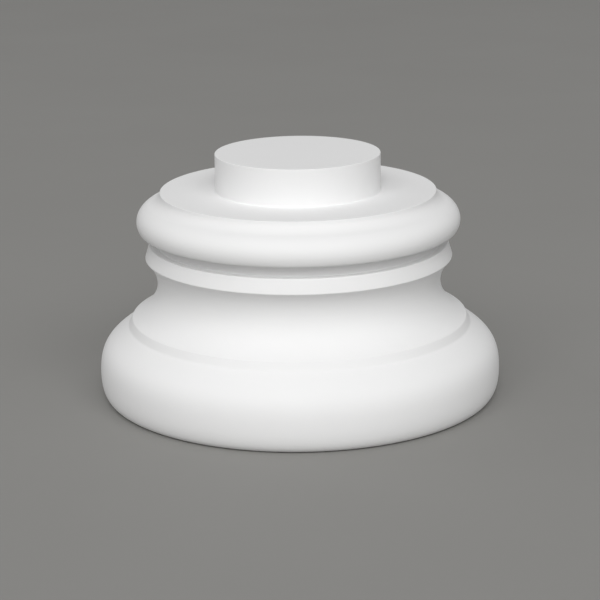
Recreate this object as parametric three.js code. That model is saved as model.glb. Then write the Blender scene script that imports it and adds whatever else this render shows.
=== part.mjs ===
import * as THREE from 'three';

// Round column base in the Attic manner, moulded in one piece.
// Millimetres, +Z up, with the origin at the middle of the underside.

// The shaft stands on a flat seat and is centred by the spigot inside it.
const seatRadius = 136.3;
const spigotRadius = 81.5;
const spigotHeight = 37.1;

// How far each member reaches out past the seat, or past the member named.
const upperTorusReach = 23.6;
const lipReach = 16;
const lipFlare = 4.2;
const bandInset = 7.5;
const scotiaDepth = 11.5;
const lowerFilletReach = 30.6;
const lowerFilletSpread = 3.7;
const lowerTorusReach = 29.4;
const undersideInset = 13.4;

// Heights of the members, from the underside up.
const bellyHeight = 26.2;
const shoulderHeight = 46;
const lowerFilletHeight = 7.7;
const lowerScotiaHeight = 34.9;
const upperScotiaHeight = 25.7;
const lipHeight = 14;
const bandHeight = 12.8;
const upperTorusDrop = 10;
const upperTorusCrown = 19.3;
const upperCoveRise = 9.6;

// Slopes where two members meet at an edge, in degrees from level.
const shoulderSlope = 33.9;
const scotiaToeSlope = 27;
const scotiaLipSlope = 41.8;

// How far round its ellipse the upper torus goes, in degrees up from its equator.
const upperTorusTurn = 65;

// Pull of the curves at their two ends, as shares of the height and the reach that they cross.
const undersidePull = 0.44;
const bellyPull = 0.87;
const shoulderPull = 0.58;
const crownPull = 0.82;
const scotiaToePull = 0.52;
const lowerNeckPull = 0.49;
const upperNeckPull = 0.38;
const scotiaLipPull = 0.85;
const upperCovePull = 0.5;

// Facets around the axis, and along each round stretch of the outline.
const turnFacets = 80;
const curveFacets = 7;

const radius = {};
radius.lip = seatRadius + lipReach;
radius.lipTop = radius.lip - lipFlare;
radius.band = radius.lipTop - bandInset;
radius.neck = radius.lip - scotiaDepth;
radius.lowerFillet = seatRadius + lowerFilletReach;
radius.filletFoot = radius.lowerFillet + lowerFilletSpread;
radius.belly = radius.filletFoot + lowerTorusReach;
radius.underside = radius.belly - undersideInset;

const height = {};
height.belly = bellyHeight;
height.filletFoot = height.belly + shoulderHeight;
height.scotiaToe = height.filletFoot + lowerFilletHeight;
height.neck = height.scotiaToe + lowerScotiaHeight;
height.lip = height.neck + upperScotiaHeight;
height.lipTop = height.lip + lipHeight;
height.bandTop = height.lipTop + bandHeight;
height.upperTorus = height.bandTop + upperTorusDrop;
height.seat = height.upperTorus + upperTorusCrown + upperCoveRise;
height.top = height.seat + spigotHeight;

// A step from a point along a direction given in degrees from level.
function step(point, degrees, length) {
  const angle = THREE.MathUtils.degToRad(degrees);
  return new THREE.Vector2(point.x + length * Math.cos(angle), point.y + length * Math.sin(angle));
}

// A curve that leaves the outline's last point in one direction and reaches the next in another.
function curveTo(outline, end, startDegrees, startLength, endDegrees, endLength) {
  const leave = step(outline.currentPoint, startDegrees, startLength);
  const arrive = step(end, endDegrees + 180, endLength);
  outline.bezierCurveTo(leave.x, leave.y, arrive.x, arrive.y, end.x, end.y);
}

function addLowerTorus(outline) {
  outline.lineTo(radius.underside, 0);
  const belly = new THREE.Vector2(radius.belly, height.belly);
  curveTo(outline, belly, 0, undersidePull * undersideInset, 90, bellyPull * bellyHeight);
  const foot = new THREE.Vector2(radius.filletFoot, height.filletFoot);
  const arrival = 180 - shoulderSlope;
  curveTo(outline, foot, 90, shoulderPull * shoulderHeight, arrival, crownPull * lowerTorusReach);
}

function addScotia(outline) {
  outline.lineTo(radius.lowerFillet, height.scotiaToe);
  const neck = new THREE.Vector2(radius.neck, height.neck);
  const toeLength = scotiaToePull * (radius.lowerFillet - radius.neck);
  curveTo(outline, neck, 180 - scotiaToeSlope, toeLength, 90, lowerNeckPull * lowerScotiaHeight);
  const lip = new THREE.Vector2(radius.lip, height.lip);
  const lipLength = scotiaLipPull * scotiaDepth;
  curveTo(outline, lip, 90, upperNeckPull * upperScotiaHeight, scotiaLipSlope, lipLength);
}

function addLipAndBand(outline) {
  outline.lineTo(radius.lipTop, height.lipTop);
  outline.lineTo(radius.band, height.lipTop);
  outline.lineTo(radius.band, height.bandTop);
}

// The torus is cut off flat below, and its curve starts at the outer end of that flat underside.
function addUpperTorus(outline) {
  const start = -Math.asin(upperTorusDrop / upperTorusCrown);
  const end = THREE.MathUtils.degToRad(upperTorusTurn);
  outline.absellipse(seatRadius, height.upperTorus, upperTorusReach, upperTorusCrown, start, end);
}

// A hollow runs on smoothly from the torus and rises upright to the seat's rim.
function addUpperCove(outline) {
  const turn = THREE.MathUtils.degToRad(upperTorusTurn);
  const slope = Math.atan2(upperTorusCrown * Math.cos(turn), -upperTorusReach * Math.sin(turn));
  const rim = new THREE.Vector2(seatRadius, height.seat);
  const run = outline.currentPoint.x - seatRadius;
  const rise = height.seat - outline.currentPoint.y;
  const leave = THREE.MathUtils.radToDeg(slope);
  curveTo(outline, rim, leave, upperCovePull * run, 90, upperCovePull * rise);
}

function addSeatAndSpigot(outline) {
  outline.lineTo(spigotRadius, height.seat);
  outline.lineTo(spigotRadius, height.top);
  outline.lineTo(0, height.top);
}

function makeOutline() {
  const outline = new THREE.Path();
  outline.moveTo(0, 0);
  addLowerTorus(outline);
  addScotia(outline);
  addLipAndBand(outline);
  addUpperTorus(outline);
  addUpperCove(outline);
  addSeatAndSpigot(outline);
  return outline.getPoints(curveFacets);
}

const plaster = new THREE.MeshStandardMaterial({ color: 0xf1f1ef, roughness: 0.6, metalness: 0 });

const geometry = new THREE.LatheGeometry(makeOutline(), turnFacets);
geometry.rotateX(Math.PI / 2);
const base = new THREE.Mesh(geometry, plaster);
base.name = 'column_base';

const part = new THREE.Group();
part.add(base);

export default part;
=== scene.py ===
import math

import bmesh
import bpy
from mathutils import Matrix, Vector


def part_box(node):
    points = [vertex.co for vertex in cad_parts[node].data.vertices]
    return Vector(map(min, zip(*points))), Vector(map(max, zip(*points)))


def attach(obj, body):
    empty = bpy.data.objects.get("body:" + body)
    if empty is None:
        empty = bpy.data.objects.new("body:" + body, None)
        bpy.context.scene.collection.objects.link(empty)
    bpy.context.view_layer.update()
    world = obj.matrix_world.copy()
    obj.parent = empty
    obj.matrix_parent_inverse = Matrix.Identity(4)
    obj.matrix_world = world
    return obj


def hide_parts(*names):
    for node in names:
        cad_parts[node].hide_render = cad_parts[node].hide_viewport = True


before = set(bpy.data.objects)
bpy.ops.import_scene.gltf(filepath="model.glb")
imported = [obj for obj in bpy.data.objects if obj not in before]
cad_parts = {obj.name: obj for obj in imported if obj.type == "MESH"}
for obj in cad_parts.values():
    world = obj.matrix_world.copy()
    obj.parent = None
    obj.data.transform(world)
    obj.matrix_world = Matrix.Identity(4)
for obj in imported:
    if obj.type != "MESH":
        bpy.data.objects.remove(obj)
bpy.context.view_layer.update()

lowCorner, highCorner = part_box('column_base')
print('frame loaded, base', round(highCorner.x - lowCorner.x, 4), 'm wide')

scene = bpy.context.scene
scene.view_settings.view_transform = 'Standard'


# the moulding's sizes in metres; its width and height come from the frame
base = {
    'seatReach': 0.1363, 'spigotReach': 0.0815,
    'upperTorusReach': 0.0236, 'upperTorusCrown': 0.0193, 'upperTorusDrop': 0.01,
    'upperTorusTurn': 65, 'torusEdgeTurn': 24,  # degrees round its ellipse, up and down from its equator
    'upperCoveRise': 0.0096, 'bandInset': 0.0075, 'bandHeight': 0.0128,
    'lipReach': 0.016, 'lipFlare': 0.0042, 'lipHeight': 0.014,
    'scotiaDepth': 0.0115, 'upperScotiaHeight': 0.0257, 'lowerScotiaHeight': 0.0349,
    'lowerFilletReach': 0.0306, 'lowerFilletSpread': 0.0037, 'lowerFilletHeight': 0.0077,
    'lowerTorusReach': 0.0294, 'shoulderHeight': 0.046, 'bellyHeight': 0.0262,
    'undersideInset': 0.0134,
    'shoulderSlope': 33.9, 'scotiaToeSlope': 27, 'scotiaLipSlope': 41.8,  # degrees from level
    'undersidePull': 0.44, 'bellyPull': 0.87, 'shoulderPull': 0.58, 'crownPull': 0.82,
    'scotiaToePull': 0.52, 'lowerNeckPull': 0.49, 'upperNeckPull': 0.38, 'scotiaLipPull': 0.85,
    'covePull': 0.5, 'torusEdgePull': 0.55,
    'torusEdgeRun': 0.003,  # how far the torus' soft lower edge reaches in along its flat underside
    'edgeRound': 0.0007, 'crownCove': 0.001, 'spigotCove': 0.0015, 'innerCove': 0.0008,
    'roundSegments': 6,
    'curveSteps': 24, 'straightStep': 0.005, 'turnSteps': 192,
}


def handle(point, degrees, length):
    angle = math.radians(degrees)
    return point + Vector((math.cos(angle), 0, math.sin(angle))) * length


def arcPull(angle):
    # the handles of an arc, as a share of its half axes
    return 4 / 3 * math.tan(angle / 4)


def knot(radius, height, arrive=None, leave=None, rounding=0):
    # arrive and leave are a direction in degrees from level and a handle's length
    point = Vector((radius, 0, height))
    return {
        'point': point, 'rounding': rounding,
        'left': handle(point, arrive[0] + 180, arrive[1]) if arrive else None,
        'right': handle(point, leave[0], leave[1]) if leave else None,
    }


def baseOutline():
    b = base
    seat = b['seatReach']
    bellyReach = (highCorner.x - lowCorner.x) / 2
    crownReach = bellyReach - b['lowerTorusReach']
    filletReach = seat + b['lowerFilletReach']
    lipReach = seat + b['lipReach']
    bandReach = lipReach - b['lipFlare'] - b['bandInset']
    neckReach = lipReach - b['scotiaDepth']
    belly = b['bellyHeight']
    crown = belly + b['shoulderHeight']
    toe = crown + b['lowerFilletHeight']
    neck = toe + b['lowerScotiaHeight']
    lip = neck + b['upperScotiaHeight']
    lipTop = lip + b['lipHeight']
    bandTop = lipTop + b['bandHeight']
    equator = bandTop + b['upperTorusDrop']
    torusTop = equator + b['upperTorusCrown']
    ledge = torusTop + b['upperCoveRise']
    top = highCorner.z
    cut = math.asin(b['upperTorusDrop'] / b['upperTorusCrown'])  # where the torus is cut off flat below
    turn = math.radians(b['upperTorusTurn'])
    roll = math.radians(b['torusEdgeTurn'])  # where its lower edge starts to roll in
    under, upper = arcPull(roll), arcPull(turn)
    reach, crownRise = b['upperTorusReach'], b['upperTorusCrown']
    edgeStart = seat + reach * math.cos(cut) - b['torusEdgeRun']
    rollReach, rollHeight = reach * math.cos(roll), equator - crownRise * math.sin(roll)
    rollRun, rollRise = reach * math.sin(roll), crownRise * math.cos(roll)
    rollSlope = math.degrees(math.atan2(rollRise, rollRun))
    edgePull = b['torusEdgePull']
    turnReach, turnTop = reach * math.cos(turn), equator + crownRise * math.sin(turn)
    turnRun, turnRise = reach * math.sin(turn), crownRise * math.cos(turn)
    turnSlope = math.degrees(math.atan2(turnRise, -turnRun))
    return [
        knot(0, 0),
        knot(bellyReach - b['undersideInset'], 0, leave=(0, b['undersidePull'] * b['undersideInset'])),
        knot(bellyReach, belly, (90, b['bellyPull'] * belly), (90, b['shoulderPull'] * b['shoulderHeight'])),
        knot(crownReach, crown, (180 - b['shoulderSlope'], b['crownPull'] * b['lowerTorusReach']),
             rounding=b['crownCove']),
        knot(filletReach, toe, rounding=b['edgeRound'],
             leave=(180 - b['scotiaToeSlope'], b['scotiaToePull'] * (filletReach - neckReach))),
        knot(neckReach, neck, (90, b['lowerNeckPull'] * b['lowerScotiaHeight']),
             (90, b['upperNeckPull'] * b['upperScotiaHeight'])),
        knot(lipReach, lip, (b['scotiaLipSlope'], b['scotiaLipPull'] * b['scotiaDepth']),
             rounding=b['edgeRound']),
        knot(lipReach - b['lipFlare'], lipTop, rounding=b['edgeRound']),
        knot(bandReach, lipTop, rounding=b['innerCove']),
        knot(bandReach, bandTop, rounding=b['innerCove']),
        knot(edgeStart, bandTop, leave=(0, edgePull * (seat + rollReach - edgeStart))),
        knot(seat + rollReach, rollHeight, (rollSlope, edgePull * (rollHeight - bandTop)),
             (rollSlope, under * math.hypot(rollRun, rollRise))),
        knot(seat + reach, equator, (90, under * crownRise), (90, upper * crownRise)),
        knot(seat + turnReach, turnTop, (turnSlope, upper * math.hypot(turnRun, turnRise)),
             (turnSlope, b['covePull'] * turnReach)),
        knot(seat, ledge, (90, b['covePull'] * (ledge - turnTop)), rounding=b['edgeRound']),
        knot(b['spigotReach'], ledge, rounding=b['spigotCove']),
        knot(b['spigotReach'], top, rounding=b['edgeRound']),
        knot(0, top),
    ]


def outlineMesh(knots):
    curve = bpy.data.curves.new('baseOutline', 'CURVE')
    curve.dimensions = '3D'
    curve.resolution_u = base['curveSteps']
    spline = curve.splines.new('BEZIER')
    spline.bezier_points.add(len(knots) - 1)
    for place, mark in zip(spline.bezier_points, knots):
        place.co = mark['point']
        place.handle_left_type = 'FREE' if mark['left'] else 'VECTOR'
        place.handle_right_type = 'FREE' if mark['right'] else 'VECTOR'
        place.handle_left = mark['left'] or mark['point']
        place.handle_right = mark['right'] or mark['point']
    holder = bpy.data.objects.new('baseOutline', curve)
    mesh = bpy.data.meshes.new_from_object(holder)
    bpy.data.objects.remove(holder)
    return mesh


def makeBase():
    knots = baseOutline()
    mesh = outlineMesh(knots)
    bm = bmesh.new()
    bm.from_mesh(mesh)
    for mark in knots:
        if mark['rounding']:
            corner = min(bm.verts, key=lambda vert: (vert.co - mark['point']).length)
            bmesh.ops.bevel(bm, geom=[corner], affect='VERTICES', offset=mark['rounding'],
                            segments=base['roundSegments'], profile=0.5, material=-1)
    for edge in [e for e in bm.edges if e.calc_length() > base['straightStep']]:
        bmesh.ops.subdivide_edges(bm, edges=[edge], cuts=int(edge.calc_length() / base['straightStep']))
    bmesh.ops.spin(bm, geom=bm.verts[:] + bm.edges[:], cent=(0, 0, 0), axis=(0, 0, 1),
                   angle=math.tau, steps=base['turnSteps'], use_merge=True)
    bmesh.ops.remove_doubles(bm, verts=bm.verts, dist=1e-6)
    bmesh.ops.recalc_face_normals(bm, faces=bm.faces)
    for face in bm.faces:
        face.smooth = True
    bm.to_mesh(mesh)
    bm.free()
    mesh.name = 'moulded_base'
    piece = bpy.data.objects.new('moulded_base', mesh)
    scene.collection.objects.link(piece)
    piece.modifiers.new('evenNormals', 'WEIGHTED_NORMAL')
    return piece


mouldedBase = makeBase()
print('base turned,', len(mouldedBase.data.polygons), 'faces')


def noise(tree, vector, scale, detail):
    node = tree.nodes.new('ShaderNodeTexNoise')
    node.inputs['Detail'].default_value = detail
    tree.links.new(vector, node.inputs['Vector'])
    tree.links.new(scale, node.inputs['Scale'])
    return node.outputs['Fac']


def softPatches():
    # broad cloudy patches and a fine grain, shared by the moulding and the floor
    group = bpy.data.node_groups.new('softPatches', 'ShaderNodeTree')
    addSocket = group.interface.new_socket
    addSocket('Vector', in_out='INPUT', socket_type='NodeSocketVector')
    addSocket('Patch Scale', in_out='INPUT', socket_type='NodeSocketFloat')
    addSocket('Grain Scale', in_out='INPUT', socket_type='NodeSocketFloat')
    addSocket('Patches', in_out='OUTPUT', socket_type='NodeSocketFloat')
    addSocket('Grain', in_out='OUTPUT', socket_type='NodeSocketFloat')
    entry = group.nodes.new('NodeGroupInput')
    result = group.nodes.new('NodeGroupOutput')
    patches = noise(group, entry.outputs['Vector'], entry.outputs['Patch Scale'], detail=3)
    grain = noise(group, entry.outputs['Vector'], entry.outputs['Grain Scale'], detail=2)
    group.links.new(patches, result.inputs['Patches'])
    group.links.new(grain, result.inputs['Grain'])
    return group


patchGroup = softPatches()


def paintedSurface(name, look):
    material = bpy.data.materials.new(name)
    material.use_nodes = True
    tree = material.node_tree
    shader = tree.nodes['Principled BSDF']
    place = tree.nodes.new('ShaderNodeTexCoord')
    patches = tree.nodes.new('ShaderNodeGroup')
    patches.node_tree = patchGroup
    patches.inputs['Patch Scale'].default_value = look['patchScale']
    patches.inputs['Grain Scale'].default_value = look['grainScale']
    tree.links.new(place.outputs['Object'], patches.inputs['Vector'])

    tint = tree.nodes.new('ShaderNodeMix')
    tint.data_type = 'RGBA'
    tint.inputs['A'].default_value = look['paint']
    tint.inputs['B'].default_value = look['shade']
    tree.links.new(patches.outputs['Patches'], tint.inputs['Factor'])
    tree.links.new(tint.outputs['Result'], shader.inputs['Base Color'])

    sheen = tree.nodes.new('ShaderNodeMapRange')
    sheen.inputs['To Min'].default_value = look['roughness'] - look['roughnessSpread']
    sheen.inputs['To Max'].default_value = look['roughness'] + look['roughnessSpread']
    tree.links.new(patches.outputs['Patches'], sheen.inputs['Value'])
    tree.links.new(sheen.outputs['Result'], shader.inputs['Roughness'])

    bump = tree.nodes.new('ShaderNodeBump')
    bump.inputs['Strength'].default_value = look['grainStrength']
    bump.inputs['Distance'].default_value = look['grainDepth']
    tree.links.new(patches.outputs['Grain'], bump.inputs['Height'])
    tree.links.new(bump.outputs['Normal'], shader.inputs['Normal'])
    return material


# satin-matt white primer on a smooth moulding; scales are per metre
whiteLook = {
    'paint': (0.9, 0.9, 0.9, 1), 'shade': (0.87, 0.87, 0.87, 1),
    'roughness': 0.75, 'roughnessSpread': 0.08,
    'patchScale': 14, 'grainScale': 700, 'grainDepth': 0.0001, 'grainStrength': 0.35,
}
mouldedBase.data.materials.append(paintedSurface('whiteMoulding', whiteLook))
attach(mouldedBase, 'root')
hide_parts('column_base')
print('base finished')


# a plain pale floor, level with the underside
floorSize = 30
floorLook = {
    'paint': (0.29, 0.286, 0.275, 1), 'shade': (0.272, 0.268, 0.257, 1),
    'roughness': 0.8, 'roughnessSpread': 0.05,
    'patchScale': 3, 'grainScale': 400, 'grainDepth': 0.0002, 'grainStrength': 0.2,
}


def makeFloor():
    mesh = bpy.data.meshes.new('floor')
    bm = bmesh.new()
    bmesh.ops.create_grid(bm, x_segments=1, y_segments=1, size=floorSize / 2)
    bmesh.ops.translate(bm, verts=bm.verts, vec=(0, 0, lowCorner.z))
    bm.to_mesh(mesh)
    bm.free()
    mesh.materials.append(paintedSurface('paleFloor', floorLook))
    floor = bpy.data.objects.new('floor', mesh)
    scene.collection.objects.link(floor)


makeFloor()


# soft boxes aimed at the base: azimuth and elevation in degrees as seen from it, metres and watts
boxDistance = 24
softBoxes = {
    'key': {'azimuth': 0, 'elevation': 42, 'size': 10.5, 'power': 2130},
    'left': {'azimuth': -35, 'elevation': 42, 'size': 10.5, 'power': 720},
    'right': {'azimuth': 35, 'elevation': 42, 'size': 10.5, 'power': 880},
    'lowFront': {'azimuth': 0, 'elevation': 20, 'size': 10.5, 'power': 800},
    'leftRim': {'azimuth': -110, 'elevation': 25, 'size': 15, 'power': 380},
}
roomLight = {'colour': (1, 1, 1, 1), 'strength': 0.28}


def makeLights():
    target = Vector((0, 0, highCorner.z / 2))
    for name, box in softBoxes.items():
        light = bpy.data.lights.new(name, 'AREA')
        light.shape = 'DISK'
        light.size = box['size']
        light.energy = box['power']
        holder = bpy.data.objects.new(name, light)
        side, rise = math.radians(box['azimuth']), math.radians(box['elevation'])
        away = Vector((math.sin(side) * math.cos(rise), -math.cos(side) * math.cos(rise), math.sin(rise)))
        holder.location = target + away * boxDistance
        holder.rotation_euler = away.to_track_quat('Z', 'Y').to_euler()
        holder.visible_camera = False
        scene.collection.objects.link(holder)
    world = bpy.data.worlds.new('room')
    world.use_nodes = True
    sky = world.node_tree.nodes['Background']
    sky.inputs['Color'].default_value = roomLight['colour']
    sky.inputs['Strength'].default_value = roomLight['strength']
    scene.world = world


makeLights()
print('lights set')


# the photo's viewpoint: metres, degrees, and the lens in millimetres
view = {'distance': 1.959, 'height': 0.6504, 'pitch': 15.9, 'yaw': 0.02, 'roll': 0.7, 'lens': 122.09}


def makeCamera():
    data = bpy.data.cameras.new('photoView')
    data.lens = view['lens']
    camera = bpy.data.objects.new('photoView', data)
    turn = Matrix.Rotation(math.radians(-view['yaw']), 4, 'Z')
    tip = Matrix.Rotation(math.radians(90 - view['pitch']), 4, 'X')
    lean = Matrix.Rotation(math.radians(-view['roll']), 4, 'Z')
    camera.matrix_world = Matrix.Translation((0, -view['distance'], view['height'])) @ turn @ tip @ lean
    scene.collection.objects.link(camera)
    scene.camera = camera


makeCamera()
print('camera set')
